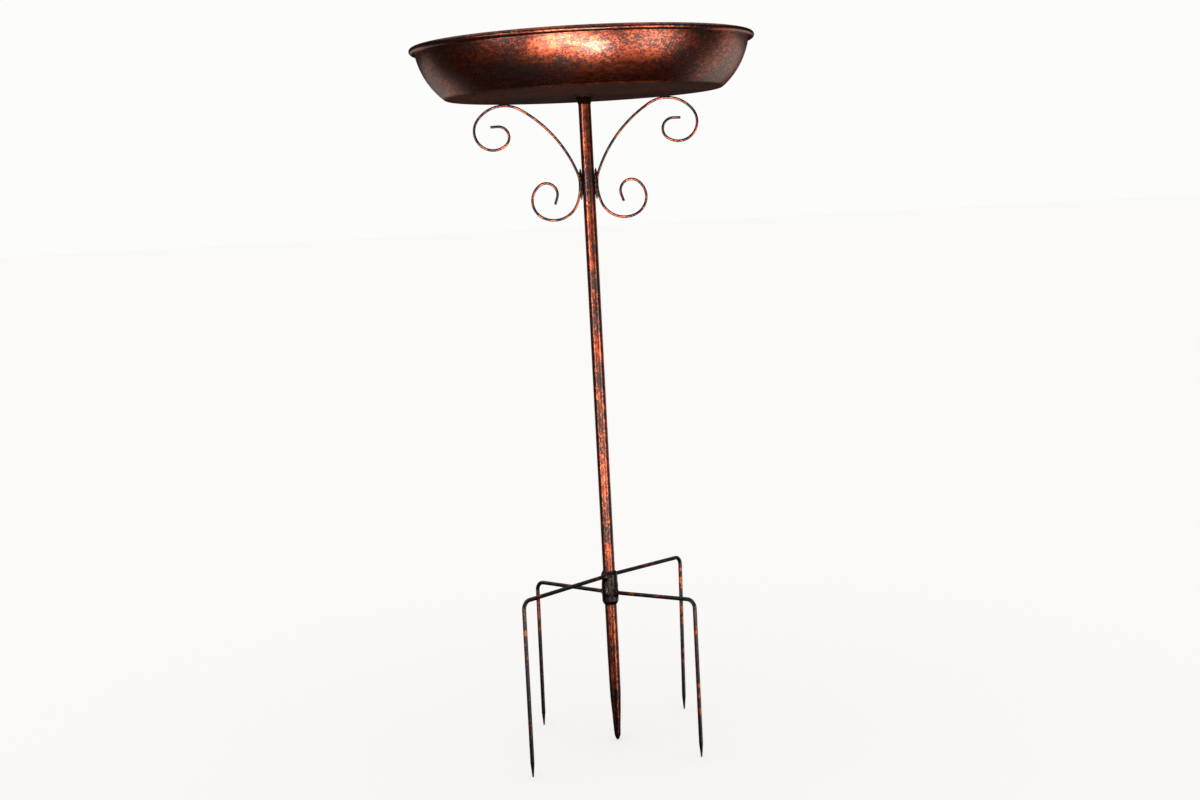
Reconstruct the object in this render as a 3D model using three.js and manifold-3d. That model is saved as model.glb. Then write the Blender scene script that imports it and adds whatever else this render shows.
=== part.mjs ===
// A bird feeder: a shallow spun-steel bowl with a rolled rim, held by one screw on top of a slim tube.
// Two bent-wire scrolls are welded to the tube under the bowl. The foot is a pointed spike with four
// bent prongs welded round it, which are pushed into the soil.
//
// Millimetres, +Z up. The origin is on the tube's axis, at the level of the spike's and the prongs' tips.
// The scrolls lie in the XZ plane.

import * as THREE from "three";
import { mergeVertices } from "three/addons/utils/BufferGeometryUtils.js";
import Module from "manifold-3d";

const wasm = await Module();
wasm.setup();

// ---------------------------------------------------------------- driving dimensions

const jointGap = 0.3; // between a weld and what it is laid on, so that no two solids touch
const overrun = 1; // how far a cut or a joined piece runs past the face it has to clear

const bowl = {
  baseHeight: 639, // underside of the flat bottom
  sheet: 1,
  holeRadius: 3.5,
  flatRadius: 130.6, // where the flat bottom ends
  cornerRadius: 5.5, // these three radii are at the middle of the sheet
  wallRadius: 73,
  curlRadius: 2.5,
  footSlope: 40, // degrees up from level, where the wall leaves the corner
  rimSlope: 82, // and where it meets the rolled rim
  curlTurn: 290, // how far round the rim is rolled outwards
  steps: { corner: 2, wall: 5, curl: 8 },
  segments: 64,
};

const pole = { radius: 6, bore: 5, segments: 24 };

const plate = { radius: 10, thickness: 2, holeRadius: 3.3, segments: 32 };
// The fillet under the plate. Its hollow is how much of each leg is left at the middle of the fillet.
const plateWeld = { legOut: 3, legDown: 7, hollow: 0.6 };

const screw = {
  shankRadius: 3,
  length: 20,
  endChamfer: 0.6,
  headRadius: 6,
  headHeight: 3.4,
  dome: [[1, 0.4], [0.8, 0.8], [0.4, 1]], // shares of the head's radius and height, from its edge inwards
  socketAcrossFlats: 4,
  socketDepth: 2.1,
  socketSides: 6,
  segments: 24,
};
const insert = { radius: 4.8, boreRadius: 3.1, length: 12, segments: 24 };
const sealingWasher = { radius: 9, holeRadius: 3.3, thickness: 1.5 };
const steelWasher = { radius: 10, holeRadius: 3.3, thickness: 1.2 };

const spike = {
  radius: 5.8,
  jointHeight: 155, // where the tube ends and the spike takes over
  spigotRadius: 4.8, // the part of the spike inside the tube
  spigotLength: 30,
  spigotChamfer: 1,
  fullHeight: 92, // where the rod has its full radius
  taperHeight: 46, // where the point starts
  taperRadius: 5.3,
  noseHeight: 4,
  noseRadius: 2.9,
  tipRadius: 1.2, // the tip is ground to a small flat
};

// Each prong leaves the hub at its level, runs out to its corner and drops to its tip.
const prongs = [
  { name: "front_left", azimuth: -129, level: 168, corner: [129, 169.5], tip: 130 },
  { name: "back_right", azimuth: 51, level: 168, corner: [119, 163], tip: 114 },
  { name: "front_right", azimuth: -40.5, level: 151, corner: [105, 155], tip: 105 },
  { name: "back_left", azimuth: 142, level: 151, corner: [94, 152], tip: 96 },
];
const prongWire = { radius: 2, bendRadius: 8, bendSteps: 6, sides: 10, pointLength: 14, tipRadius: 0.7 };

// The hub is two runs of weld round the tube, one for each pair of prongs.
const hubWelds = [
  { name: "hub_weld_upper", bottom: 160.3, top: 173, swell: 8.4, level: 168 },
  { name: "hub_weld_lower", bottom: 139, top: 160, swell: 8.8, level: 151 },
];
const sleeveShape = [[0, 0.33], [0.2, 1], [0.5, 0.81], [0.75, 1], [1, 0.29]]; // shares of height and swell
const prongWeld = { radius: 4.4, reach: 9, around: 12, upward: 8 }; // the lump where a prong's end is buried

// A scroll is one wire. From where it is nearest the tube, arcs lead up to one curled end and down to the
// other. Each arc is [radius, degrees turned], and the next one starts where the last one ends. Both ends of
// the wire finish with a straight run.
const scroll = {
  wireRadius: 1.3,
  sides: 8,
  degreesPerStep: 20,
  weldHeight: 554,
  offset: 8.3, // of the wire's centre line from the tube's axis
  upper: [[34, 21], [124.5, 37.5], [31.8, 84.5], [18.2, 165.5], [10.3, 143]],
  lower: [[51, 20], [24.2, 96.5], [18.4, 116.5], [10.8, 145.5]],
  straight: 7,
};
const scrollWeld = { halfWidth: 1.9, halfDepth: 1.6, halfLength: 15, x: 7.5, y: 2.1, around: 12, upward: 10 };

// ---------------------------------------------------------------- finishes

const finish = (color, roughness, metalness) => {
  return new THREE.MeshStandardMaterial({ color, roughness, metalness });
};
const antiqueCopper = finish(0x7a3a22, 0.42, 0.85);
const weldBlack = finish(0x1d1614, 0.6, 0.6);
const zincSteel = finish(0xb9bcc0, 0.35, 1);
const blackRubber = finish(0x161616, 0.8, 0);

// ---------------------------------------------------------------- helpers

const radians = THREE.MathUtils.degToRad;
const direction = (angle) => new THREE.Vector2(Math.cos(angle), Math.sin(angle));

// Follows straight and round runs in a plane and returns the stations on the way, each a point and a
// heading. A run is { length } or { radius, turn, steps }: turn is in degrees, positive to the left.
function walk(start, startHeading, runs) {
  let point = start;
  let heading = startHeading;
  const stations = [{ point, heading }];
  for (const { length, radius, turn, steps } of runs) {
    if (length) {
      point = direction(heading).multiplyScalar(length).add(point);
      stations.push({ point, heading });
      continue;
    }
    const toCentre = (Math.sign(turn) * Math.PI) / 2;
    const centre = direction(heading + toCentre).multiplyScalar(radius).add(point);
    for (let step = 0; step < steps; step++) {
      heading += radians(turn) / steps;
      point = direction(heading - toCentre).multiplyScalar(radius).add(centre);
      stations.push({ point, heading });
    }
  }
  return stations;
}

// The line through stations in the XZ plane, as a curve whose steps fall on the stations themselves.
class StationCurve extends THREE.Curve {
  constructor(stations) {
    super();
    this.stations = stations;
  }
  at(t) {
    return this.stations[Math.round(t * (this.stations.length - 1))];
  }
  getPoint(t) {
    const { point } = this.at(t);
    return new THREE.Vector3(point.x, 0, point.y);
  }
  getTangent(t) {
    const { x, y } = direction(this.at(t).heading);
    return new THREE.Vector3(x, 0, y);
  }
  getUtoTmapping(u) {
    return u;
  }
}

// A round wire along stations.
function wire(stations, radius, sides) {
  const corners = Array.from({ length: sides }, (_, i) => {
    return direction((2 * Math.PI * i) / sides).multiplyScalar(radius);
  });
  return new THREE.ExtrudeGeometry(new THREE.Shape(corners), {
    steps: stations.length - 1,
    extrudePath: new StationCurve(stations),
  });
}

// A profile of [radius, height] points turned round the Z axis.
function revolve(profile, segments) {
  const points = profile.map(([radius, height]) => new THREE.Vector2(radius, height));
  return new THREE.LatheGeometry(points, segments).rotateX(Math.PI / 2);
}

// A ring with a rectangular section, such as a washer or a length of tube.
function ring(innerRadius, outerRadius, bottom, top, segments) {
  const section = [
    [innerRadius, bottom],
    [outerRadius, bottom],
    [outerRadius, top],
    [innerRadius, top],
    [innerRadius, bottom],
  ];
  return revolve(section, segments);
}

// A three.js geometry as a manifold solid, and back. Corners closer than this become one.
const sameCorner = 1e-3;

function solid(geometry) {
  const bare = new THREE.BufferGeometry();
  const loose = geometry.index ? geometry.toNonIndexed() : geometry;
  bare.setAttribute("position", loose.getAttribute("position"));
  const merged = mergeVertices(bare, sameCorner);
  const vertProperties = merged.attributes.position.array;
  const triVerts = new Uint32Array(merged.index.array);
  return new wasm.Manifold(new wasm.Mesh({ numProp: 3, vertProperties, triVerts }));
}

function geometryOf(made) {
  const { vertProperties, triVerts } = made.getMesh();
  const geometry = new THREE.BufferGeometry();
  geometry.setAttribute("position", new THREE.BufferAttribute(vertProperties, 3));
  geometry.setIndex(new THREE.BufferAttribute(triVerts, 1));
  geometry.computeVertexNormals();
  return geometry;
}

const feeder = new THREE.Group();

function add(name, geometry, material) {
  const mesh = new THREE.Mesh(geometry, material);
  mesh.name = name;
  feeder.add(mesh);
  return mesh;
}

// ---------------------------------------------------------------- bowl

// The sheet's middle line runs out along the bottom, up the corner and the wall, and over into the rim.
function bowlProfile() {
  const stations = walk(
    new THREE.Vector2(bowl.holeRadius, bowl.baseHeight + bowl.sheet / 2),
    0,
    [
      { length: bowl.flatRadius - bowl.holeRadius },
      { radius: bowl.cornerRadius, turn: bowl.footSlope, steps: bowl.steps.corner },
      { radius: bowl.wallRadius, turn: bowl.rimSlope - bowl.footSlope, steps: bowl.steps.wall },
      { radius: bowl.curlRadius, turn: -bowl.curlTurn, steps: bowl.steps.curl },
    ],
  );
  const face = (side) => stations.map(({ point, heading }) => {
    const out = direction(heading + (side * Math.PI) / 2).multiplyScalar(bowl.sheet / 2);
    return out.add(point).toArray();
  });
  const underside = face(-1);
  const topside = face(1).reverse();
  return [...underside, ...topside, underside[0]];
}
add("bowl", revolve(bowlProfile(), bowl.segments), antiqueCopper);

// ---------------------------------------------------------------- screw, washers and insert

const floorHeight = bowl.baseHeight + bowl.sheet;
const sealTop = floorHeight + sealingWasher.thickness;
const headBottom = sealTop + steelWasher.thickness;
const plateBottom = bowl.baseHeight - plate.thickness;

function screwGeometry() {
  const end = headBottom - screw.length;
  const crown = headBottom + screw.headHeight;
  const dome = screw.dome.map(([across, up]) => {
    return [across * screw.headRadius, headBottom + up * screw.headHeight];
  });
  const turned = revolve(
    [
      [0, end],
      [screw.shankRadius - screw.endChamfer, end],
      [screw.shankRadius, end + screw.endChamfer],
      [screw.shankRadius, headBottom],
      [screw.headRadius, headBottom],
      ...dome,
      [0, crown],
    ],
    screw.segments,
  );
  const socketRadius = screw.socketAcrossFlats / Math.sqrt(3);
  const socket = revolve(
    [
      [0, crown - screw.socketDepth],
      [socketRadius, crown - screw.socketDepth],
      [socketRadius, crown + overrun],
      [0, crown + overrun],
    ],
    screw.socketSides,
  );
  return geometryOf(solid(turned).subtract(solid(socket)));
}
add("bowl_screw", screwGeometry(), zincSteel);

const washer = ({ holeRadius, radius }, bottom, top) => ring(holeRadius, radius, bottom, top, screw.segments);
add("screw_washer", washer(steelWasher, sealTop, headBottom), zincSteel);
add("sealing_washer", washer(sealingWasher, floorHeight, sealTop), blackRubber);
const insertBottom = plateBottom - insert.length;
const insertRing = ring(insert.boreRadius, insert.radius, insertBottom, plateBottom, insert.segments);
add("threaded_insert", insertRing, zincSteel);

// ---------------------------------------------------------------- support plate, tube and spike

const plateRing = ring(plate.holeRadius, plate.radius, plateBottom, bowl.baseHeight, plate.segments);
add("support_plate", plateRing, antiqueCopper);

function plateWeldGeometry() {
  const inner = pole.radius + jointGap;
  const top = plateBottom - jointGap;
  const outer = inner + plateWeld.legOut;
  const bottom = top - plateWeld.legDown;
  const middle = [inner + plateWeld.hollow * plateWeld.legOut, top - plateWeld.hollow * plateWeld.legDown];
  return revolve([[inner, bottom], middle, [outer, top], [inner, top], [inner, bottom]], pole.segments);
}
add("plate_weld", plateWeldGeometry(), weldBlack);

add("pole_tube", ring(pole.bore, pole.radius, spike.jointHeight, plateBottom, pole.segments), antiqueCopper);

const spigotTop = spike.jointHeight + spike.spigotLength;
const spikeProfile = [
  [0, 0],
  [spike.tipRadius, 0],
  [spike.noseRadius, spike.noseHeight],
  [spike.taperRadius, spike.taperHeight],
  [spike.radius, spike.fullHeight],
  [spike.radius, spike.jointHeight],
  [spike.spigotRadius, spike.jointHeight],
  [spike.spigotRadius, spigotTop - spike.spigotChamfer],
  [spike.spigotRadius - spike.spigotChamfer, spigotTop],
  [0, spigotTop],
];
add("ground_spike", revolve(spikeProfile, pole.segments), antiqueCopper);

// ---------------------------------------------------------------- prongs

// A prong in the XZ plane, on the +X side of the tube. It is turned to its azimuth when it is placed.
function prongSolid({ level, corner, tip }, radius) {
  const start = new THREE.Vector2(pole.radius + jointGap, level);
  const bend = new THREE.Vector2(...corner);
  const end = new THREE.Vector2(tip, 0);
  const arm = bend.clone().sub(start);
  const leg = end.clone().sub(bend);
  const turn = leg.angle() - 2 * Math.PI - Math.atan2(arm.y, arm.x);
  const setBack = prongWire.bendRadius * Math.tan(Math.abs(turn) / 2);
  const stations = walk(
    start,
    Math.atan2(arm.y, arm.x),
    [
      { length: arm.length() - setBack },
      { radius: prongWire.bendRadius, turn: THREE.MathUtils.radToDeg(turn), steps: prongWire.bendSteps },
      { length: leg.length() - setBack - prongWire.pointLength },
    ],
  );
  const point = revolve(
    [
      [0, 0],
      [prongWire.tipRadius, 0],
      [radius, prongWire.pointLength],
      [radius, prongWire.pointLength + overrun],
      [0, prongWire.pointLength + overrun],
    ],
    prongWire.sides,
  );
  point.rotateY(Math.atan2(bend.x - end.x, bend.y)).translate(tip, 0, 0);
  return solid(wire(stations, radius, prongWire.sides)).add(solid(point));
}

for (const prong of prongs) {
  const mesh = add("prong_" + prong.name, geometryOf(prongSolid(prong, prongWire.radius)), antiqueCopper);
  mesh.rotation.z = radians(prong.azimuth);
}

// ---------------------------------------------------------------- hub welds

// A lumpy sleeve of weld round the tube with a lump over each prong's end, cut back to clear them all.
function hubWeldGeometry({ bottom, top, swell, level }) {
  const inner = pole.radius + jointGap;
  const outside = sleeveShape.map(([up, out]) => {
    return [inner + out * (swell - inner), bottom + up * (top - bottom)];
  });
  let made = solid(revolve([[inner, bottom], ...outside, [inner, top], [inner, bottom]], pole.segments));
  const met = prongs.filter((prong) => prong.level === level);
  for (const { azimuth } of met) {
    const lump = new THREE.SphereGeometry(prongWeld.radius, prongWeld.around, prongWeld.upward);
    lump.translate(prongWeld.reach, 0, level).rotateZ(radians(azimuth));
    made = made.add(solid(lump));
  }
  made = made.subtract(solid(ring(0, inner, 0, spigotTop, pole.segments)));
  for (const prong of met) {
    const clearance = geometryOf(prongSolid(prong, prongWire.radius + jointGap));
    made = made.subtract(solid(clearance.rotateZ(radians(prong.azimuth))));
  }
  return geometryOf(made);
}
for (const weld of hubWelds) add(weld.name, hubWeldGeometry(weld), weldBlack);

// ---------------------------------------------------------------- scrolls and their welds

// The right-hand scroll's stations, from its lower curled end to its upper one.
function scrollStations() {
  const nearest = new THREE.Vector2(scroll.offset, scroll.weldHeight);
  const runs = (arcs, side) => {
    const round = arcs.map(([radius, turn]) => {
      return { radius, turn: side * turn, steps: Math.ceil(turn / scroll.degreesPerStep) };
    });
    return [...round, { length: scroll.straight }];
  };
  const up = walk(nearest, Math.PI / 2, runs(scroll.upper, -1));
  const down = walk(nearest, -Math.PI / 2, runs(scroll.lower, 1));
  const lower = down.slice(1).reverse();
  return [...lower.map(({ point, heading }) => ({ point, heading: heading + Math.PI })), ...up];
}

for (const [side, turned] of [["right", 0], ["left", Math.PI]]) {
  const rod = wire(scrollStations(), scroll.wireRadius, scroll.sides);
  add("scroll_" + side, rod, antiqueCopper).rotation.z = turned;
}

// A bead of weld in the crevice between wire and tube, on one side of the wire.
function scrollWeldGeometry(depthSide) {
  const { halfWidth, halfDepth, halfLength, x, y, around, upward } = scrollWeld;
  const bead = new THREE.SphereGeometry(1, around, upward).scale(halfWidth, halfDepth, halfLength);
  bead.translate(x, depthSide * y, scroll.weldHeight);
  const bottom = scroll.weldHeight - halfLength - overrun;
  const top = scroll.weldHeight + halfLength + overrun;
  const tube = ring(0, pole.radius + jointGap, bottom, top, pole.segments);
  const rod = wire(scrollStations(), scroll.wireRadius + jointGap, scroll.sides);
  return geometryOf(solid(bead).subtract(solid(tube)).subtract(solid(rod)));
}
for (const [side, turned] of [["right", 0], ["left", Math.PI]]) {
  for (const [place, depthSide] of [["front", -1], ["back", 1]]) {
    const seenSide = turned ? -depthSide : depthSide;
    add(`scroll_weld_${side}_${place}`, scrollWeldGeometry(seenSide), weldBlack).rotation.z = turned;
  }
}

export default feeder;
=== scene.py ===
# %% [markdown]
# # A bird feeder on a pole
#
# The feeder is a shallow steel bowl with a rolled rim, held by one screw on top of a slim tube. Two wire
# scrolls are welded to the tube under the bowl. The foot is a pointed spike with four bent prongs that are
# pushed into the soil. All but the screw, its washers and its insert is painted dark brown and rubbed over
# with copper.
#
# This lesson builds each piece as a surface worked out with numpy: either a profile turned round the
# pole's axis, or a small ring carried along a bent wire. Both give one regular grid of points, so every
# dent, ripple and thread is a change to whole arrays of numbers.

import bpy
import numpy as np
from mathutils import Matrix, Vector


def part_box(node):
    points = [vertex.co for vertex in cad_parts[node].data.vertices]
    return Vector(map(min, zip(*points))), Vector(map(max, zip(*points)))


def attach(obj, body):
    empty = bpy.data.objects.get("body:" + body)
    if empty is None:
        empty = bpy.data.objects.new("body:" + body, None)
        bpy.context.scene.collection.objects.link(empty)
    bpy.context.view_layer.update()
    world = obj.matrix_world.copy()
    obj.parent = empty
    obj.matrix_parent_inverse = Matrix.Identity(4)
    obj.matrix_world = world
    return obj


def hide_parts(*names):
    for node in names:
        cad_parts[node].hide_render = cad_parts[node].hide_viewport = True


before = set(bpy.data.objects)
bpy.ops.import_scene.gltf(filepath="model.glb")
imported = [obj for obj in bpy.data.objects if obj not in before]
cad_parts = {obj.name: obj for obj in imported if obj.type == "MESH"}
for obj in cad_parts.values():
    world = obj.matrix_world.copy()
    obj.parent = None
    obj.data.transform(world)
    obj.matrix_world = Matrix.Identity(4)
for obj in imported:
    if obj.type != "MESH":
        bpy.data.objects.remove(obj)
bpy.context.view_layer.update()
MM = 0.001

# %% [markdown]
# ## Heights
#
# The real feeder is assembled from the ground up, and every height on the pole follows from a neighbour.
# The model already knows them, so each is read from a node's box. Only what a box can't tell, such as a
# bend radius, is written down again further on.


# %% Read the heights
def height_of(node, end):
    """Return a node's lowest (end 0) or highest (end 1) height in mm."""
    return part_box(node)[end].z / MM


floor_bottom = height_of("bowl", 0)
tube_bottom, tube_top = height_of("pole_tube", 0), height_of("pole_tube", 1)
print(f"bowl from {floor_bottom:.1f} mm up, tube {tube_bottom:.1f} to {tube_top:.1f} mm")

# %% [markdown]
# ## From a grid of points to a mesh
#
# A turned bowl and a bent wire have the same layout: rings of points, one ring after another. One function
# can mesh them all. Each ring closes on itself. The first and last rings are either joined, as round the
# wall of a tube, or each is closed by one flat face, as on the cut end of a wire.


# %% Mesh a grid of rings
def skin(name, rings, joined=False):
    """Return an object whose faces join each ring of points to the next.

    rings[i, j] is point j of ring i, in mm. A face has the corners (i, j), (i, j+1), (i+1, j+1), (i+1, j).
    Six times the enclosed volume is the sum over triangles of a . (b x c). If it comes out negative, the
    faces look inwards, and the order of the corners is reversed.
    """
    count, sides = rings.shape[:2]
    index = np.arange(count * sides).reshape(count, sides)
    lower = index if joined else index[:-1]
    upper = np.roll(index, -1, 0) if joined else index[1:]
    quads = np.stack([lower, np.roll(lower, -1, 1), np.roll(upper, -1, 1), upper], -1).reshape(-1, 4)
    points = rings.reshape(-1, 3) * MM
    a, b, c, d = (points[quads[:, k]] for k in range(4))
    volume = np.sum(a * np.cross(b, c)) + np.sum(a * np.cross(c, d))
    faces = quads.tolist()
    if not joined:
        faces += [index[0, ::-1].tolist(), index[-1].tolist()]
    if volume < 0:
        faces = [face[::-1] for face in faces]
    mesh = bpy.data.meshes.new(name)
    mesh.from_pydata(points.tolist(), [], faces)
    mesh.shade_smooth()
    mesh.set_sharp_from_angle(angle=np.radians(50))
    made = bpy.data.objects.new(name, mesh)
    bpy.context.scene.collection.objects.link(made)
    return made


# %% [markdown]
# ## Profiles and paths
#
# A bent wire and the section of a spun bowl are both drawn by a walk in a plane: go straight, or turn
# through an arc. Following the walk in small steps gives points and headings at once, with no joint
# between a straight and an arc to smooth afterwards.


# %% Walk along straights and arcs
def walk(start, heading, runs):
    """Return points and headings (radians) along a walk in a plane.

    Each run is (length, degrees turned, step). A run is cut into equal steps. The heading after a step is
    the sum of the turns so far. The point after it is the sum of the chords so far, and a chord is the
    step times sin(half its turn) over half its turn.
    """
    length, turned, step = np.array(runs, float).T
    count = np.maximum(1, np.ceil(length / step)).astype(int)
    bit = np.repeat(length / count, count)
    bend = np.repeat(np.radians(turned) / count, count)
    after = np.radians(heading) + np.cumsum(bend)
    along = after - bend / 2
    chord = bit * np.sinc(bend / (2 * np.pi))
    moves = chord[:, None] * np.stack([np.cos(along), np.sin(along)], 1)
    points = np.vstack([[start], start + np.cumsum(moves, 0)])
    return points, np.append(np.radians(heading), after)


def arc(radius, turned, step):
    """Return a run round an arc. Its length is its radius times its turn in radians."""
    return (radius * np.radians(abs(turned)), turned, step)


# %% Round a section's corners, and carry it round the axis
def rounded(corners, radius, steps=4):
    """Return a closed section with each corner rounded off.

    The curve leaves one side at `radius` from the corner and joins the other side at `radius` from it. A
    point on it is (1-t)^2 * start + 2t(1-t) * corner + t^2 * end.
    """
    corners = np.array(corners, float)
    before, after = np.roll(corners, 1, 0) - corners, np.roll(corners, -1, 0) - corners
    start = corners + radius * before / np.linalg.norm(before, axis=1)[:, None]
    end = corners + radius * after / np.linalg.norm(after, axis=1)[:, None]
    t = np.linspace(0, 1, steps + 1)[None, :, None]
    curve = (1 - t) ** 2 * start[:, None] + 2 * t * (1 - t) * corners[:, None] + t**2 * end[:, None]
    return curve.reshape(-1, 2)


def finer(section, step):
    """Return a closed section with extra points, so that none is further than `step` from the next."""
    ahead = np.roll(section, -1, 0)
    count = np.maximum(1, np.ceil(np.linalg.norm(ahead - section, axis=1) / step)).astype(int)
    first = np.repeat(np.cumsum(count) - count, count)
    share = (np.arange(count.sum()) - first) / np.repeat(count, count)
    side = np.repeat(np.arange(len(section)), count)
    return section[side] + share[:, None] * (ahead - section)[side]


def turn(section, sides, outwards=0):
    """Return rings: the section (radius, height) carried round the Z axis.

    Point j of a ring stands at the angle 2 pi j / sides. `outwards` is added to its radius.
    """
    angle = 2 * np.pi * np.arange(sides) / sides
    radius = section[:, :1] + outwards
    height = np.broadcast_to(section[:, 1:], (len(section), sides))
    return np.stack([radius * np.cos(angle), radius * np.sin(angle), height], -1)


def angles_and_heights(section, sides):
    """Return the angle and the height of every point that `turn` makes from a section."""
    return np.broadcast_arrays(2 * np.pi * np.arange(sides) / sides, section[:, 1:])


# %% [markdown]
# ## Hand work leaves nothing quite even
#
# Spun sheet, drawn tube and hand-bent wire all wander by a few hundredths of a millimetre, and that is what
# breaks up the highlights on real metal. A few slow waves added together give this wander. They have a
# fixed seed, so the result is the same every time.


# %% Slow waves for the wander, round domes for the lumps
def wander(angle, along, size, crests, wavelength, seed):
    """Return a gentle unevenness between -size and size, for each angle and each place along the piece.

    It is the mean of eight waves cos(n * angle + k * along + phase). n is a whole number of crests round
    the piece, up to `crests`, and 2 pi / k is a wavelength of at least `wavelength` mm.
    """
    rng = np.random.default_rng(seed)
    n = rng.integers(0, crests + 1, 8)
    k = rng.uniform(-1, 1, 8) * 2 * np.pi / wavelength
    phase = rng.uniform(0, 2 * np.pi, 8)
    return size * np.cos(angle[..., None] * n + along[..., None] * k + phase).mean(-1)


def domes(u, v, spots, width, height):
    """Return lumps: the sum over spots of height * exp(-distance^2 / (2 * width^2)).

    u and v are distances in mm over the surface. `spots` holds one (u, v) a lump.
    """
    away = (u[..., None] - spots[:, 0]) ** 2 + (v[..., None] - spots[:, 1]) ** 2
    return (height * np.exp(-away / (2 * width**2))).sum(-1)


# %% [markdown]
# ## A piece finds its place
#
# In the model each piece is known by its node and by the body that it moves with. A finished piece hides
# the node that it stands for, rides on the body that carries it, and gets its finish.

# %% Place a finished piece
painted = {}
counts = {}


def place(piece, node, body, material):
    """Say what the piece stands for and moves with, and give it its finish."""
    piece.data.materials.append(material)
    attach(piece, body)
    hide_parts(node)
    counts[piece.name] = sum(len(face.vertices) - 2 for face in piece.data.polygons)
    print(f"{piece.name}: {counts[piece.name]} triangles, rides on {body}")


# %% [markdown]
# ## Antique copper
#
# The finish is a stove-enamelled dark brown coat with copper paint rubbed and sponged over it, under a
# thin clear lacquer. The rag leaves copper on the high spots in patches a few centimetres wide. Inside a
# patch the copper is broken into specks and short streaks of one to three millimetres, where the grain of
# the coat shows through. The eye sees warm metal where light falls and near black where it doesn't.
#
# Three noises at those real sizes are added up, and a soft threshold turns the sum into a mask of where
# the copper is. The mask then drives colour, metallic and roughness together, as paint does. What isn't
# rubbed is partly metallic too, because a little copper dust stays on the brown coat.


# %% Colours, and one helper that adds a node
def colour(code):
    """Return a linear RGBA colour from an sRGB hex code.

    A channel c up to 0.04045 becomes c / 12.92, and above that ((c + 0.055) / 1.055) ^ 2.4.
    """
    c = np.array([int(code[i : i + 2], 16) for i in (1, 3, 5)]) / 255
    linear = np.where(c <= 0.04045, c / 12.92, ((c + 0.055) / 1.055) ** 2.4)
    return (*linear.tolist(), 1.0)


def add(tree, kind, inputs=None, **settings):
    """Add a node, set its settings, and link or set its inputs. Return it."""
    made = tree.nodes.new("ShaderNode" + kind)
    for key, value in settings.items():
        setattr(made, key, value)
    for key, value in (inputs or {}).items():
        if isinstance(value, bpy.types.NodeSocket):
            tree.links.new(value, made.inputs[key])
        else:
            made.inputs[key].default_value = value
    return made


def new_material(name):
    """Return an empty material, its node tree and its output node."""
    made = bpy.data.materials.new(name)
    made.use_nodes = True
    made.node_tree.nodes.clear()
    return made, made.node_tree, made.node_tree.nodes.new("ShaderNodeOutputMaterial")


# %% The antique copper finish
speck_share, streak_share, patch_share = 0.8, 0.2, 0.46
half_rubbed = speck_share / 2 + streak_share / 2 + patch_share / 2
half_edge, cover_reach = 0.055, 0.22
# The last two are for the painted shade under the bowl: the share of copper left there, and its fade in mm.
copper_dust, painted_shade_share, painted_shade_fade = 0.6, 0.15, 2


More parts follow.
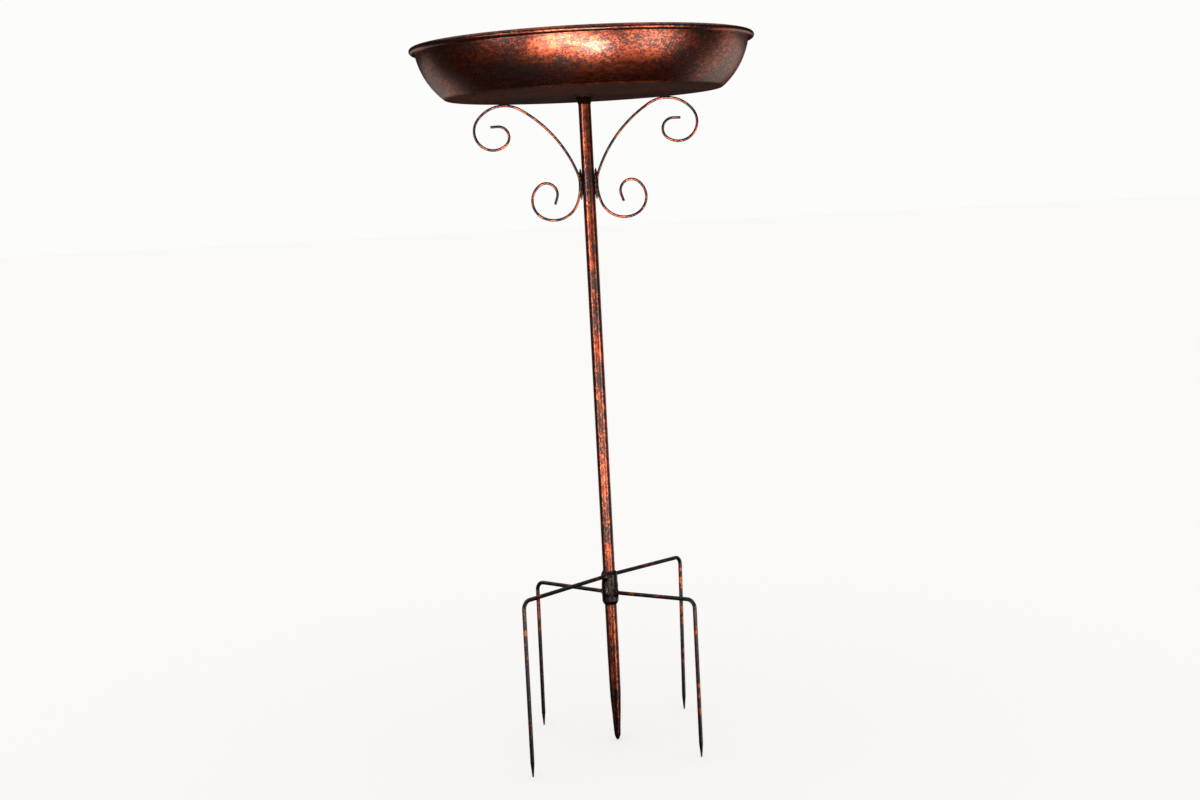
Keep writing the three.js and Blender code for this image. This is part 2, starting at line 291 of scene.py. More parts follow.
def antique_copper(name, patch, speck, stretch, cover, coat=0.4, shift=(0, 0, 0), painted_shade_below=None):
    """Return a copper-rubbed finish.

    `patch` and `speck` are the sizes of its patches and specks in mm. `stretch` squeezes the pattern along
    X, Y and Z, so that it looks drawn out across that direction. `cover` is how much copper the rag left,
    and `shift` is the part of the pattern that is used. The mask is a soft step, `half_edge` to each side
    of its middle, of 0.8 * specks + 0.2 * streaks + 0.46 * patches. Each noise has a mean of a half, so
    the sum's mean is 0.73. Metallic goes from `copper_dust` to 1 over the first third of the mask. Under
    the last height given, the mask is only a small share of that, as painted shade, whole again 2 mm
    higher.
    """
    material, tree, output = new_material(name)
    place_of = add(tree, "TexCoord").outputs["Object"]
    moved = {"Vector": place_of, "Scale": stretch, "Location": shift}
    drawn = add(tree, "Mapping", moved).outputs["Vector"]
    broad = {"Vector": drawn, "Scale": 1 / (patch * MM), "Detail": 3.0, "Roughness": 0.55}
    small = {"Vector": drawn, "Scale": 1 / (speck * MM), "Detail": 4.0, "Roughness": 0.62}
    streaky = {"Vector": drawn, "Scale": 0.3 / (speck * MM), "Detail": 5.0, "Roughness": 0.7}
    patches = add(tree, "TexNoise", broad).outputs["Fac"]
    specks = add(tree, "TexNoise", small).outputs["Fac"]
    streaks = add(tree, "TexNoise", streaky).outputs["Fac"]

    rubbed = add(tree, "Math", {0: specks, 1: speck_share}, operation="MULTIPLY").outputs[0]
    for noise, share in ((streaks, streak_share), (patches, patch_share)):
        rubbed = add(tree, "Math", {0: noise, 1: share, 2: rubbed}, operation="MULTIPLY_ADD").outputs[0]
    edge = half_rubbed + cover_reach * (0.5 - cover)
    step = {"Value": rubbed, "From Min": edge - half_edge, "From Max": edge + half_edge}
    mask = add(tree, "MapRange", step, interpolation_type="SMOOTHSTEP").outputs["Result"]

    # Painted shade: under the given height the copper is mostly taken away and the finish goes rough and
    # loses its coat, so the bowl's underside and the plate come out dark and dull.
    if painted_shade_below:
        height = add(tree, "SeparateXYZ", {"Vector": place_of}).outputs["Z"]
        fade = {"From Min": painted_shade_below * MM, "From Max": (painted_shade_below + painted_shade_fade) * MM}
        out_of_painted_shade = add(tree, "MapRange", {"Value": height, **fade}).outputs["Result"]
        kept = add(tree, "MapRange", {"Value": out_of_painted_shade, "To Min": painted_shade_share}).outputs["Result"]
        mask = add(tree, "Math", {0: mask, 1: kept}, operation="MULTIPLY").outputs[0]

    # Thin copper over the brown coat looks deep red, and thick copper looks orange.
    thick = {"Value": streaks, "From Min": 0.38, "From Max": 0.62}
    depth = add(tree, "MapRange", thick).outputs["Result"]
    hues = {0: depth, 6: colour("#732515"), 7: colour("#b85a33")}
    copper = add(tree, "Mix", hues, data_type="RGBA").outputs[2]
    tints = {0: mask, 6: colour("#170c0a"), 7: copper}
    paint = add(tree, "Mix", tints, data_type="RGBA").outputs[2]

    # The rubbed specks stand a few hundredths of a millimetre proud, and are burnished by the rag.
    dust = {"Value": mask, "From Max": 0.35, "To Min": copper_dust}
    metal = add(tree, "MapRange", dust).outputs["Result"]
    gloss = {"Value": mask, "To Min": 0.42, "To Max": 0.3}
    rough = add(tree, "MapRange", gloss).outputs["Result"]
    if painted_shade_below:
        rough = add(tree, "Mix", {0: out_of_painted_shade, 2: 0.85, 3: rough}, data_type="FLOAT").outputs[0]
        coat = add(tree, "Math", {0: out_of_painted_shade, 1: coat}, operation="MULTIPLY").outputs[0]
    raised = {"Height": rubbed, "Distance": 0.25 * MM, "Strength": 0.5}
    relief = add(tree, "Bump", raised).outputs["Normal"]
    shader = {
        "Base Color": paint,
        "Metallic": metal,
        "Roughness": rough,
        "Normal": relief,
        "Coat Weight": coat,
        "Coat Roughness": 0.26,
    }
    surface = add(tree, "BsdfPrincipled", shader)
    tree.links.new(surface.outputs[0], output.inputs[0])
    return material


# The height, in mm, is just over the bowl's flat floor, so its underside and the plate get painted shade.
underside = 639.4
off_centre = (1.7, 0.4, 0.9)
on_sheet = ("antique_copper_on_sheet", 70, 1.9, (1, 1, 1.9), 0.5, 0.5, off_centre, underside)
painted["bowl"] = antique_copper(*on_sheet)
painted["tube"] = antique_copper("antique_copper_on_tube", 26, 1.7, (1.3, 1.3, 0.8), 0.44)
painted["wire"] = antique_copper("antique_copper_on_wire", 40, 8, (1, 1, 1), 0.24, 0.6)
painted["scroll"] = antique_copper("antique_copper_on_scroll_wire", 30, 7, (1, 1, 1), 0.46, 0.5)
print("finishes:", list(painted))

# %% [markdown]
# ## Weld, zinc and rubber
#
# The welds are laid after the rods are painted, and then brushed over with glossy black paint that shows
# brown scale in the hollows. The fillet under the plate gets a darker, rougher copy of that black, which
# is painted shade. The screw and its washer are bright zinc on steel, which goes cloudy in patches a few
# millimetres wide. The sealing washer is moulded rubber with fine grey bloom.


# %% A finish that is one mixed colour with cloudy patches
def clouded(name, dark, light, size, metallic, rough, relief, coat=0.0):
    """Return a finish that drifts between two colours and two roughnesses in clouds of `size` mm.

    The share of the light colour, and of the second roughness, goes from 0 to 1 as a noise goes from 0.35
    to 0.65. A finer noise, a sixth of that size, raises grains `relief` mm high.
    """
    material, tree, output = new_material(name)
    place_of = add(tree, "TexCoord").outputs["Object"]
    drift = {"Vector": place_of, "Scale": 1 / (size * MM), "Detail": 4.0, "Roughness": 0.6}
    clouds = add(tree, "TexNoise", drift).outputs["Fac"]
    grain = {"Vector": place_of, "Scale": 6 / (size * MM), "Detail": 2.0}
    grains = add(tree, "TexNoise", grain).outputs["Fac"]
    spread = {"Value": clouds, "From Min": 0.35, "From Max": 0.65}
    share = add(tree, "MapRange", spread).outputs["Result"]
    mixed = {0: share, 6: colour(dark), 7: colour(light)}
    paint = add(tree, "Mix", mixed, data_type="RGBA").outputs[2]
    dulled = {"Value": share, "To Min": rough[0], "To Max": rough[1]}
    gloss = add(tree, "MapRange", dulled).outputs["Result"]
    raised = {"Height": grains, "Distance": relief * MM, "Strength": 0.5}
    shader = {
        "Base Color": paint,
        "Metallic": metallic,
        "Roughness": gloss,
        "Normal": add(tree, "Bump", raised).outputs["Normal"],
        "Coat Weight": coat,
    }
    surface = add(tree, "BsdfPrincipled", shader)
    tree.links.new(surface.outputs[0], output.inputs[0])
    return material


painted["weld"] = clouded("black_painted_weld", "#0c0807", "#2a1813", 2.2, 0.5, (0.14, 0.36), 0.15)
# Painted shade: the fillet in the shade under the plate gets a darker, rougher copy of the weld's black.
painted["soot"] = clouded("painted_shade_weld_under_plate", "#0c0605", "#1c0d09", 2.2, 1.0, (0.65, 0.8), 0.1)
painted["zinc"] = clouded("bright_zinc_on_steel", "#a9adb0", "#c9ccca", 3.0, 1.0, (0.22, 0.38), 0.02)
painted["rubber"] = clouded("moulded_black_rubber", "#121212", "#24231f", 2.0, 0.0, (0.65, 0.85), 0.05)

# %% [markdown]
# ## The bowl
#
# A disc of 1 mm steel is spun over a former, and its edge is rolled outwards and back under into a bead
# six millimetres thick, which stiffens the rim and hides the raw edge. So the bowl is one sheet: its
# section is the middle line of the sheet, thickened by half a millimetre to each side.
#
# Turning that section round the axis gives the whole shape. The spun wall is never quite round, so it
# wanders by up to a fifth of a millimetre, always inwards. Close to the axis it wanders less.

# %% Spin the bowl
sheet, hole_radius, flat_radius, bowl_sides = 1.0, 3.5, 130.6, 288
flat_floor = (flat_radius - hole_radius, 0, 6)
corner_bend, curved_wall, rolled_rim = arc(5.5, 40, 0.5), arc(73, 42, 1.6), arc(2.5, -290, 0.5)
bowl_runs = [flat_floor, corner_bend, curved_wall, rolled_rim]
middle, heading = walk((hole_radius, floor_bottom + sheet / 2), 0, bowl_runs)
normal = np.stack([-np.sin(heading), np.cos(heading)], 1) * sheet / 2
cut = np.radians(np.linspace(0, 180, 5))[1:-1, None]
outer_end = middle[-1] - np.cos(cut) * normal[-1] + np.sin(cut) * [normal[-1][1], -normal[-1][0]]
inner_end = middle[0] + np.cos(cut) * normal[0] - np.sin(cut) * [normal[0][1], -normal[0][0]]
bowl_section = np.vstack([middle - normal, outer_end, (middle + normal)[::-1], inner_end])
print(f"the rim's outer edge is {bowl_section[:, 0].max():.1f} mm from the axis")

# %% Let the wall wander, and place the bowl
bowl_rings = turn(bowl_section, bowl_sides)
around = np.arctan2(bowl_rings[..., 1], bowl_rings[..., 0])
from_axis = np.hypot(bowl_rings[..., 0], bowl_rings[..., 1])
half_wander, still_radius = 0.1, 20
pulled_in = wander(around, from_axis + bowl_rings[..., 2], half_wander, 7, 60, seed=11) + half_wander
bowl_rings[..., :2] *= (1 - pulled_in / from_axis.clip(still_radius))[..., None]
place(skin("spun_bowl", bowl_rings, True), "bowl", "bowl", painted["bowl"])

# %% [markdown]
# ## The tube and the plate on top
#
# The pole is drawn steel tube, 12 mm across with a 1 mm wall. A round plate is welded on its top, so that
# the thin floor of the bowl has something wider than the tube to sit on. Both are closed sections turned
# round the axis. Their edges are broken slightly, because a sharp edge would hold no paint. The plate has
# the bowl's finish, and is all under the height where that finish gets painted shade, dark and dull.

# %% Draw the tube
tube_radius, tube_bore, tube_sides, tube_wander = 6.0, 5.0, 40, 0.03
tube_corners = [
    (tube_radius, tube_bottom),
    (tube_radius, tube_top),
    (tube_bore, tube_top),
    (tube_bore, tube_bottom),
]
tube_section = finer(rounded(tube_corners, 0.3), 4)
where = angles_and_heights(tube_section, tube_sides)
drawn_in = wander(*where, tube_wander, crests=3, wavelength=30, seed=12) - tube_wander
tube_rings = turn(tube_section, tube_sides, drawn_in)
place(skin("drawn_tube", tube_rings, True), "pole_tube", "stand", painted["tube"])

# %% Turn the support plate
plate_radius, plate_hole, round_sides = 10.0, 3.3, 72
plate_corners = [
    (plate_radius, tube_top),
    (plate_radius, floor_bottom),
    (plate_hole, floor_bottom),
    (plate_hole, tube_top),
]
plate_rings = turn(finer(rounded(plate_corners, 0.35), 2), round_sides)
disc = skin("support_disc", plate_rings, True)
# The plate takes the bowl's finish and lies under its painted shade, so it comes out dark and dull.
place(disc, "support_plate", "stand", painted["bowl"])

# %% [markdown]
# ## Weld beads
#
# A weld is a row of puddles, each frozen half over the one before. The fillet under the plate is a ring
# with 22 such puddles round it. The two runs at the hub are rougher: a sleeve of weld round the tube, lumps
# all over it, and a collar drawn up over the root of each prong.
#
# All three are a radius that depends on angle and height, so each lump is a swelling of that radius.

# %% Lay the fillet under the plate
fillet_inner, fillet_sides, puddle_pairs = tube_radius - 0.1, 160, 11
fillet_top, fillet_bottom = tube_top, height_of("plate_weld", 0)
fillet_corners = [
    (fillet_inner, fillet_bottom),
    (tube_radius + 1.3, fillet_top - 2.6),
    (tube_radius + 3.2, fillet_top),
    (fillet_inner, fillet_top),
]
fillet_section = finer(rounded(fillet_corners, 0.4, 6), 0.4)
fillet_angle, fillet_height = angles_and_heights(fillet_section, fillet_sides)
puddle = 0.3 * np.abs(np.cos(puddle_pairs * fillet_angle + 0.4 * fillet_height)) - 0.2
# The puddles swell only the slope, not the face on the tube or the one under the plate.
proud = (fillet_section[:, :1] > fillet_inner + 0.3) & (fillet_section[:, 1:] < fillet_top - 0.2)
fillet_rings = turn(fillet_section, fillet_sides, puddle * proud)
place(skin("plate_fillet", fillet_rings, True), "plate_weld", "stand", painted["soot"])

# %% Where each prong leaves the hub and where it goes
# A prong has a direction in degrees, a height at the hub, a corner (radius, height) and its tip's radius.
prongs = {
    "front_left": (-129.0, 168.0, (129.0, 169.5), 130.0),
    "back_right": (51.0, 168.0, (119.0, 163.0), 114.0),
    "front_right": (-40.5, 151.0, (105.0, 155.0), 105.0),
    "back_left": (142.0, 151.0, (94.0, 152.0), 96.0),
}
print("prong directions:", {name: figures[0] for name, figures in prongs.items()})

# %% Lay the two runs of weld at the hub
bead_rings, bead_sides, lump_count, lump_width = 56, 112, 26, 1.9
collar_width, collar_height, thin_length = 2.0, 4.0, 3.5


def hub_bead(name, node, swell, thin_end, seed):
    """Weld a lumpy sleeve round the tube.

    Its radius is a sleeve that thins out towards `thin_end` (0 below, 1 above), plus a few small domes,
    plus a taller dome for each prong that leaves at its height. Distances are measured over a cylinder of
    radius `swell`, and the domes are laid again one lap away, so that they cross the seam.
    """
    bottom, top = height_of(node, 0), height_of(node, 1)
    rng = np.random.default_rng(seed)
    z = np.linspace(bottom, top, bead_rings)[:, None]
    angle = 2 * np.pi * np.arange(bead_sides)[None] / bead_sides
    angle, z = np.broadcast_arrays(angle, z)
    thin = np.clip(np.abs(z - (bottom, top)[thin_end]) / thin_length, 0, 1)
    sleeve = tube_radius + 0.1 + (swell - tube_radius - 0.4) * thin**0.7
    half_lap = np.pi * swell
    spots = rng.uniform((-half_lap, bottom + 1.5), (half_lap, top - 1.5), (lump_count, 2))
    over = ((angle + np.pi) % (2 * np.pi) - np.pi) * swell
    size = rng.uniform(-0.3, 0.45, lump_count)
    laps = (-2 * half_lap, 0, 2 * half_lap)
    lumps = sum(domes(over + lap, z, spots, lump_width, size) for lap in laps)
    collar = 0
    for azimuth, level, _, _ in prongs.values():
        if bottom < level < top:
            off = (np.degrees(angle) - azimuth + 180) % 360 - 180
            root = np.array([[0, level]])
            collar = collar + domes(np.radians(off) * swell, z, root, collar_width, collar_height)
    radius = sleeve + (lumps + collar) * thin
    outer = np.stack([radius * np.cos(angle), radius * np.sin(angle), z], -1)
    inner_radius = tube_radius - 0.15
    section = np.array([(inner_radius, top), (inner_radius, bottom)])
    rings = np.concatenate([outer, turn(section, bead_sides)])
    place(skin(name, rings, True), node, "stand", painted["weld"])


hub_bead("upper_hub_bead", "hub_weld_upper", 8.2, 1, 21)
hub_bead("lower_hub_bead", "hub_weld_lower", 8.4, 0, 22)

# %% [markdown]
# ## The spike
#
# The spike is a solid rod with its end hammered to a point and ground. Its upper end is turned down to
# slide into the tube. The hammered point keeps five shallow facets that wind slowly upwards, and they
# show up as a slightly uneven outline.

# %% Forge the spike
spike_corners = np.array(
    [(0.05, 0), (1.0, 0.0), (1.35, 0.25), (2.75, 3.6), (3.1, 5.0), (5.25, 44), (5.45, 52)]
    + [(5.8, 92), (5.8, 154.6), (5.5, 155), (4.8, 155), (4.8, 183.8), (3.9, 185), (0.05, 185)]
)
spike_sides, steps_between, facet_top, facet_depth = 48, 14, 60, 0.16
corner_count = len(spike_corners)
steps = np.linspace(0, corner_count - 1, (corner_count - 1) * steps_between + 1)
spike_section = np.stack([np.interp(steps, np.arange(corner_count), part) for part in spike_corners.T], 1)
spike_angle, spike_height = angles_and_heights(spike_section, spike_sides)
hammered = facet_depth * np.clip((facet_top - spike_height) / 40, 0, 1)
hammered = hammered * np.clip(spike_section[:, :1] / 3, 0, 1)
facets = hammered * (np.abs(np.cos(2.5 * spike_angle + 0.11 * spike_height)) - 1)
uneven = wander(spike_angle, spike_height, 0.02, crests=3, wavelength=20, seed=13) * (spike_height > 1)
spike_rings = turn(spike_section, spike_sides, facets + uneven)
place(skin("forged_spike", spike_rings), "ground_spike", "stand", painted["tube"])

# %% [markdown]
# ## Wire
#
# The prongs and scrolls are mild steel wire, bent cold round a peg. A wire is a ring of points carried
# along a walk. The walk lies in one upright plane, so the ring stands on two directions: square to the
# path within the plane, and straight out of the plane. It can't twist, and no frame has to be worked out.


# %% Carry a ring along a walk
def bend_wire(points, heading, radius, sides, azimuth=0.0, seed=1):
    """Return rings of a wire along a walk in the XZ plane, turned to `azimuth` degrees about Z.

    A point of a ring is centre + radius * (cos(a) * square + sin(a) * out), where square is the heading
    turned by 90 degrees and out is the plane's normal. The radius wanders by 2 percent.
    """
    a = 2 * np.pi * np.arange(sides) / sides
    along = np.append(0, np.cumsum(np.linalg.norm(np.diff(points, axis=0), axis=1)))
    radius = np.broadcast_to(radius, len(points))[:, None]
    angle, far = np.broadcast_arrays(a[None], along[:, None])
    radius = radius * (1 + wander(angle, far, 0.02, 2, 9, seed) - 0.02)
    square = np.stack([-np.sin(heading), np.cos(heading)], 1)
    flat = points[:, None] + radius[..., None] * np.cos(a)[:, None] * square[:, None]
    out = radius * np.sin(a)
    c, s = np.cos(np.radians(azimuth)), np.sin(np.radians(azimuth))
    return np.stack([flat[..., 0] * c - out * s, flat[..., 0] * s + out * c, flat[..., 1]], -1)


# %% [markdown]
# ## Prongs
#
# Each prong is butt-welded to the hub, runs out, and bends down through a tight corner. Its last
# fourteen millimetres are ground to a blunt point, so that it goes into turf without splitting it.

# %% Bend the four prongs
prong_radius, prong_bend, prong_sides = 2.0, 8.0, 20
point_length, point_radius, nose_length = 14.0, 0.7, 0.6


def prong_wire(level, corner, tip):
    """Return a prong's points, headings and radii.

    The corner is where the two straights would cross. The bend starts and ends at
    bend radius * tan(half the turn) from it. Over the point the radius falls in a straight line, and over
    the last half millimetre it rounds off.
    """
    start, corner, tip = np.array([tube_radius - 0.4, level]), np.array(corner), np.array([tip, 0.0])
    arm, leg = corner - start, tip - corner
    lean, drop = np.degrees(np.arctan2(arm[1], arm[0])), np.degrees(np.arctan2(leg[1], leg[0]))
    back = prong_bend * np.tan(np.radians(lean - drop) / 2)
    straight, down = np.linalg.norm(arm) - back, np.linalg.norm(leg) - back
    bend = arc(prong_bend, drop - lean, 0.7)
    point = [(point_length - nose_length, 0, 1), (nose_length, 0, 0.1)]
    points, heading = walk(start, lean, [(straight, 0, 3), bend, (down - point_length, 0, 3), *point])
    left = np.linalg.norm(points - points[-1], axis=1)
    left[: len(points) // 2] = point_length
    taper = point_radius + (prong_radius - point_radius) * np.minimum(1, left / point_length)
    nose = np.sqrt(np.clip(1 - (1 - np.minimum(left, nose_length) / nose_length) ** 2, 0.02, 1))
    return points, heading, taper * nose


for number, (name, (azimuth, level, corner, tip)) in enumerate(prongs.items()):
    rings = bend_wire(*prong_wire(level, corner, tip), prong_sides, azimuth, 30 + number)
    rings[..., 2] = rings[..., 2].clip(0)
    rod = skin("prong_rod_" + name, rings)
    place(rod, "prong_" + name, "stand", painted["wire"])

# %% [markdown]
# ## Scrolls
#
# A scroll is one length of wire. From where it touches the pole it swings out and curls up at both ends,
# tighter and tighter. A bender makes that with a few pegs of falling size, so a few arcs that run into
# each other give its true shape, which no spiral formula would. The last 7 mm, which the bender's jaws
# hold, stay straight.

# %% Bend the two scrolls
scroll_radius, weld_height, wire_offset, scroll_sides = 1.3, 554.0, 8.3, 18
upper_arcs = [(34, 21), (124.5, 37.5), (31.8, 84.5), (18.2, 165.5), (10.3, 143)]
lower_arcs = [(51, 20), (24.2, 96.5), (18.4, 116.5), (10.8, 145.5)]
straight_end, worn_end = (7, 0, 1), 0.15


def half_scroll(arcs, way):
    """Walk from the pole up (way 1) or down (way -1), round the arcs and along the straight end."""
    runs = [arc(radius, -way * degrees, 1) for radius, degrees in arcs] + [straight_end]
    return walk((wire_offset, weld_height), way * 90, runs)


up, up_heading = half_scroll(upper_arcs, 1)
low, low_heading = half_scroll(lower_arcs, -1)
scroll_path = np.vstack([low[:0:-1], up])
scroll_heading = np.append(low_heading[:0:-1] + np.pi, up_heading)
scroll_size = np.full(len(scroll_path), scroll_radius)
scroll_size[[0, -1]] -= worn_end
print(f"a scroll is bent from {np.linalg.norm(np.diff(scroll_path, axis=0), axis=1).sum():.0f} mm of wire")

for side, azimuth, seed in (("right", 0, 41), ("left", 180, 42)):
    rings = bend_wire(scroll_path, scroll_heading, scroll_size, scroll_sides, azimuth, seed)
    name = "scroll_" + side
    place(skin("wire_" + name, rings), name, "stand", painted["scroll"])

# %% Lay the beads between scroll and pole
bead_x, bead_y, bead_rows, bead_points = 7.4, 2.1, 90, 24
half_width, half_depth, half_length = 2.0, 1.7, 15.0
puddle_pitch, puddle_rise, bead_wander = 4.4, 0.03, 0.12


def scroll_bead(name, node, side, front, seed):
    """Weld one bead into the crevice between wire and tube.

    It is an ellipsoid: a ring's size is the square root of 1 - t^2, where t runs from just over -1 to just
    under 1 along it. Its puddles swell it by a few hundredths, and a slow wander makes them unequal.
    """
    t = np.sin(np.linspace(-0.497, 0.497, bead_rows) * np.pi)[:, None]
    angle = 2 * np.pi * np.arange(bead_points)[None] / bead_points
    angle, t = np.broadcast_arrays(angle, t)
    z = t * half_length
    swell = np.sqrt(1 - t**2) * (1 + puddle_rise * np.cos(2 * np.pi * z / puddle_pitch + seed))
    swell = swell * (1 + wander(angle, z, bead_wander, 2, 9, seed)) / 1.1
    x = side * (bead_x + half_width * swell * np.cos(angle))
    y = front * (bead_y + half_depth * swell * np.sin(angle))
    rings = np.stack([x, y, z + weld_height], -1)
    place(skin(name, rings), node, "stand", painted["weld"])


for number, (side, sign) in enumerate((("right", 1), ("left", -1))):
    for step, (depth, front) in enumerate((("front", -1), ("back", 1))):
        ends = f"{side}_{depth}"
        scroll_bead("bead_" + ends, "scroll_weld_" + ends, sign, front, 51 + 2 * number + step)

# %% [markdown]
# ## The screw, its washers and the insert
#
# One M6 button-head screw goes down through the bowl's floor into a threaded insert in the tube. A steel
# washer spreads its pull, and a rubber washer under that keeps water in the bowl.
#
# The screw is one grid from the bottom of its socket, over the head and down the shank. The socket's wall
# is pushed out to a hexagon: a flat's distance over the cosine of the angle from its middle. The thread is
# a groove whose place along the shank moves on by one pitch for each turn, which makes a true helix.

# %% A thread's groove
thread_pitch, screw_sides = 1.0, 48


def groove(section, sides, depth):
    """Return how deep a thread is cut at each point that `turn` makes from a section.

    The phase is height / pitch less the share of a turn, without its whole part. The groove has its full
    depth round phase 0.5, and its flanks fall off in straight lines to nothing.
    """
    angle, height = angles_and_heights(section, sides)
    phase = (height / thread_pitch - angle / (2 * np.pi)) % 1
    return depth * np.clip(1.2 - 2.6 * np.abs(phase - 0.5), 0, 1)


# %% Draw the screw's section
screw_radius, thread_depth = 3.0, 0.5
screw_bottom, crown = height_of("bowl_screw", 0), height_of("bowl_screw", 1)
head_bottom = height_of("screw_washer", 1)
socket_part = [(0.05, crown - 2.6), (0.9, crown - 2.3), (1.9, crown - 2.1), (2.0, crown - 2.0)]
socket_part += [(2.0, crown - 1.0), (2.0, crown - 0.25), (2.3, crown)]
socket_wall = (2, 3, 4, 5)
dome = np.linspace(0, 1, 9)[:, None]
head_edge, shoulder = np.array([6.0, head_bottom + 1.0]), np.array([5.6, crown - 0.1])
flat_top = np.array([2.75, crown])
over_head = (1 - dome) ** 2 * flat_top + 2 * dome * (1 - dome) * shoulder + dome**2 * head_edge
under = [(5.9, head_bottom + 0.2), (5.7, head_bottom), (3.2, head_bottom), (3.0, head_bottom - 0.2)]
shank_z = np.arange(head_bottom - 0.4, screw_bottom + 0.6, -0.1)
shank = np.stack([np.full(len(shank_z), screw_radius), shank_z], 1)
tail = [(2.4, screw_bottom + 0.3), (2.2, screw_bottom), (0.05, screw_bottom)]
screw_section = np.vstack([socket_part, over_head, under, shank, tail])
print("points on the screw's section:", len(screw_section))

# %% Cut its socket and its thread
screw_rings = turn(screw_section, screw_sides)
screw_angle = 2 * np.pi * np.arange(screw_sides) / screw_sides
hexagon = 1 / np.cos((screw_angle + np.pi / 6) % (np.pi / 3) - np.pi / 6)
number = np.arange(len(screw_section))[:, None]
first, plain_neck = len(socket_part) + len(over_head) + len(under), 12
threaded = (number >= first + plain_neck) & (number < first + len(shank))
from_axis = np.hypot(screw_rings[..., 0], screw_rings[..., 1])
cut_back = from_axis - groove(screw_section, screw_sides, thread_depth) * threaded
shaped = np.where(np.isin(number, socket_wall), from_axis * hexagon, cut_back)
screw_rings[..., :2] *= (shaped / from_axis)[..., None]
place(skin("socket_screw", screw_rings), "bowl_screw", "screw", painted["zinc"])


# %% Stamp the washers
washer_hole = 3.3


def washer(name, node, material, round_off):
    """Turn a flat ring that fills its node's box, with edges rounded off by `round_off` mm."""
    low, high = (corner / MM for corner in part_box(node))
    corners = [(high.x, low.z), (high.x, high.z), (washer_hole, high.z), (washer_hole, low.z)]
    rings = turn(finer(rounded(corners, round_off), 1), round_sides)
    place(skin(name, rings, True), node, "washers", material)


washer("stamped_washer", "screw_washer", painted["zinc"], 0.3)
washer("rubber_seal", "sealing_washer", painted["rubber"], 0.6)

# %% Cut the insert
insert_low, insert_high = ((corner / MM).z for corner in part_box("threaded_insert"))
bore_radius, bore_depth = 3.1, 0.4
bore_z = np.arange(insert_low + 0.5, insert_high - 0.5, 0.1)[::-1]
insert_outside = [(3.6, insert_low), (4.6, insert_low), (4.8, insert_low + 0.2), (4.8, insert_high - 0.2)]
insert_outside += [(4.6, insert_high), (3.6, insert_high), (3.2, insert_high - 0.4)]
bore_wall = np.stack([np.full(len(bore_z), bore_radius), bore_z], 1)
insert_section = np.vstack([insert_outside, bore_wall, [(3.2, insert_low + 0.4)]])
in_bore = insert_section[:, :1] < bore_radius + 0.05
insert_thread = groove(insert_section, screw_sides, bore_depth) * in_bore
insert_rings = turn(insert_section, screw_sides, insert_thread)
place(skin("threaded_bush", insert_rings, True), "threaded_insert", "stand", painted["zinc"])

# %% [markdown]
# ## Floor and light
#
# The stage is plain: a pale matt floor and a pale surround, lit from above by a sun as wide as an overcast
# sky, which makes no hard shadow. The floor also glows a little, so that it looks as pale as the surround.
#
# The copper is mostly metal, so what it shows is what it reflects. The outside of the bowl faces down, so
# the lights that draw its shape are low ones. A small one in front makes the bright patch on the wall, and
# two broad dim ones, in front and at the right, make the copper round it glow. Two upright strips draw a
# line down each side of the pole, and two more lights behind grey the ends of the bowl. None of these
# softboxes lights the floor, where they would leave streaks, and the floor doesn't show in the copper.

# %% Set the floor
half_floor, floor_glow, chalk_white = 30.0, 0.57, colour("#f2f1ef")
floor_mesh = bpy.data.meshes.new("pale_floor")
floor_corners = [(x * half_floor, y * half_floor, 0) for x, y in ((-1, -1), (1, -1), (1, 1), (-1, 1))]
floor_mesh.from_pydata(floor_corners, [], [(0, 1, 2, 3)])
floor = bpy.data.objects.new("pale_floor", floor_mesh)
bpy.context.scene.collection.objects.link(floor)
matt, tree, output = new_material("matt_white_floor")
chalk = {"Base Color": chalk_white, "Roughness": 0.9, "Specular IOR Level": 0.1}
glow = {"Emission Color": chalk_white, "Emission Strength": floor_glow}
plain = add(tree, "BsdfPrincipled", {**chalk, **glow})
tree.links.new(plain.outputs[0], output.inputs[0])
floor_mesh.materials.append(matt)
floor.visible_glossy = floor.visible_diffuse = False

# %% Keep the softboxes' light off the floor
spared = bpy.data.collections.new("spared_by_softboxes")
spared.objects.link(floor)
spared.collection_objects[0].light_linking.link_state = "EXCLUDE"

# %% Set the lights
glow_width, strip_width = 0.2, 0.2


def softbox(name, spot, width, height, power, tint, target, spread=70):
    """Hang a rectangular light at `spot`, facing `target`, with its rays kept within `spread` degrees."""
    lamp = bpy.data.lights.new(name, "AREA")
    lamp.shape = "RECTANGLE"
    lamp.size, lamp.size_y, lamp.energy = width, height, power
    lamp.color = colour(tint)[:3]
    lamp.spread = np.radians(spread)
    made = bpy.data.objects.new(name, lamp)
    facing = (Vector(spot) - Vector(target)).to_track_quat("Z", "Y").to_matrix().to_4x4()
    made.matrix_world = Matrix.Translation(spot) @ facing
    made.visible_camera = False
    made.light_linking.receiver_collection = spared
    bpy.context.scene.collection.objects.link(made)
    print(f"{name}: {power} W, {width} by {height} m")


def from_pole(azimuth, distance, height):
    """Return a place round the pole: azimuth 0 is in front, and 90 degrees is to the right.

    x is distance * sin(azimuth), and y is -distance * cos(azimuth).
    """
    a = np.radians(azimuth)
    return (distance * np.sin(a), -distance * np.cos(a), height)


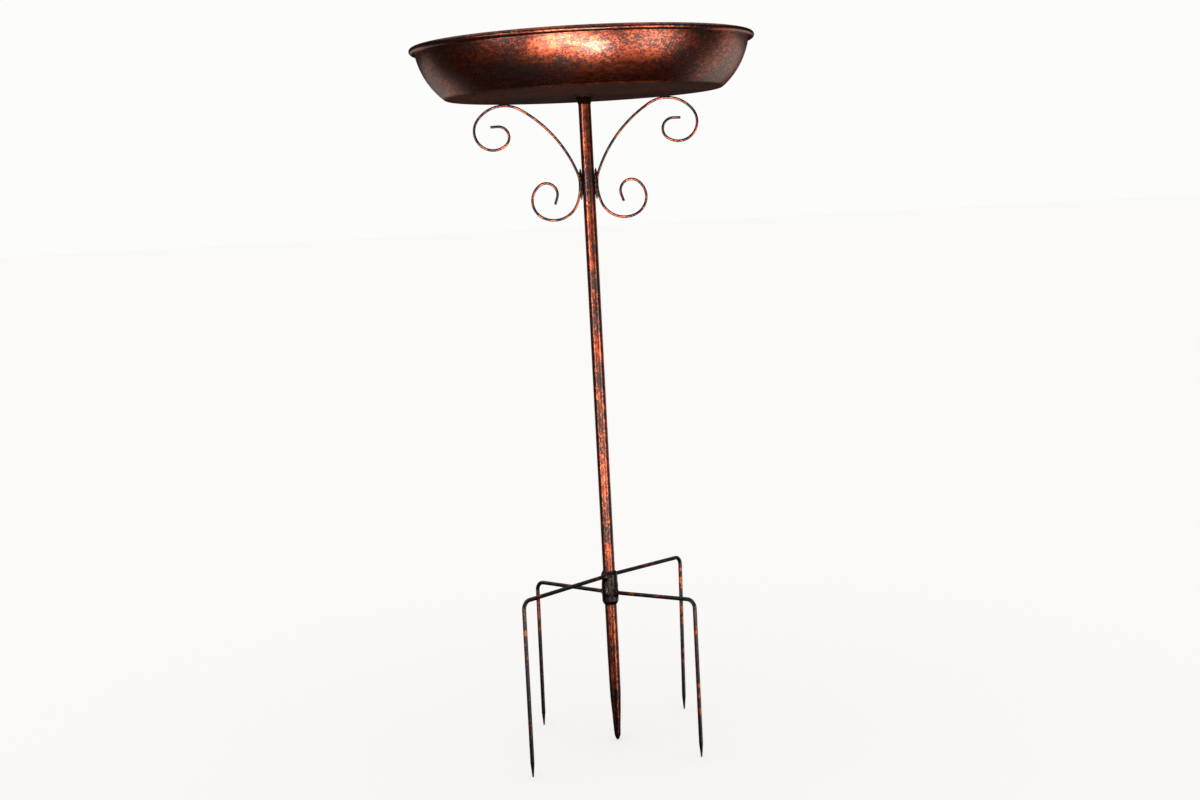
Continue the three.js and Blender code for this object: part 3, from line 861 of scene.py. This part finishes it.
low_wall, high_wall, right_wall = (0.0, -0.15, 0.67), (0.0, -0.15, 0.7), (0.05, -0.1, 0.68)
mid_pole, low_pole, under_bowl = (0, 0, 0.34), (0, 0, 0.25), (0, 0, 0.6)
softbox("front_glow", from_pole(9, 1.0, 0.06), glow_width, glow_width, 1.4, "#fff2ea", low_wall)
softbox("front_fill", from_pole(-12, 1.5, 0.08), 1.2, 0.6, 2.7, "#fff0e8", high_wall, 40)
softbox("right_fill", from_pole(50, 1.6, 0.0), 1.5, 1.0, 2.6, "#ffece2", right_wall, 40)
softbox("left_front", from_pole(-50, 1.2, 0.36), strip_width, 0.72, 0.5, "#fff4ee", mid_pole, 36)
softbox("right_front", from_pole(52, 1.3, 0.2), strip_width, 0.4, 0.16, "#fff4ee", low_pole, 26)
softbox("right_back", from_pole(130, 1.4, 0.1), 1.2, 1.0, 0.6, "#fff0e4", under_bowl)
softbox("left_back", from_pole(-146, 1.6, 0.1), 1.2, 0.9, 0.24, "#fff2e6", under_bowl)

# %% Set the wide sun
daylight = bpy.data.lights.new("overhead", "SUN")
sun_energy, sun_width = 1.6, 110
daylight.energy, daylight.angle = sun_energy, np.radians(sun_width)
overhead = bpy.data.objects.new("overhead", daylight)
bpy.context.scene.collection.objects.link(overhead)

# %% Set the surround, which is pale to the camera and dim to everything else
world = bpy.data.worlds.new("pale_surround")
bpy.context.scene.world = world
world.use_nodes = True
sky = world.node_tree
sky.nodes.clear()
seen = add(sky, "LightPath").outputs["Is Camera Ray"]
pale = add(sky, "Background", {"Color": colour("#fcfcfb"), "Strength": 1.0})
dim = add(sky, "Background", {"Color": colour("#b8b4b0"), "Strength": 0.03})
either = add(sky, "MixShader", {0: seen, 1: dim.outputs[0], 2: pale.outputs[0]})
sky_output = sky.nodes.new("ShaderNodeOutputWorld")
sky.links.new(either.outputs[0], sky_output.inputs[0])
bpy.context.scene.view_settings.view_transform = "Standard"

# %% [markdown]
# ## The camera
#
# The camera stands 1.66 m in front of the pole and 0.54 m up, which is 100 mm below the bowl's floor. It
# looks down by nearly seven degrees, and is rolled by three, so the pole leans a little in its view.

# %% Set the camera
lens = bpy.data.cameras.new("camera")
lens.lens, lens.sensor_width = 51.0, 36.0
camera = bpy.data.objects.new("camera", lens)
camera_place, look_down, lean = (0, -1.6553, 0.5412), 6.815, -3.016
pitch, roll = np.radians(90 - look_down), np.radians(lean)
aimed = Matrix.Rotation(pitch, 4, "X") @ Matrix.Rotation(roll, 4, "Z")
camera.matrix_world = Matrix.Translation(camera_place) @ aimed
bpy.context.scene.collection.objects.link(camera)
bpy.context.scene.camera = camera

# %% Count the triangles in all
print("triangles in all:", sum(counts.values()))
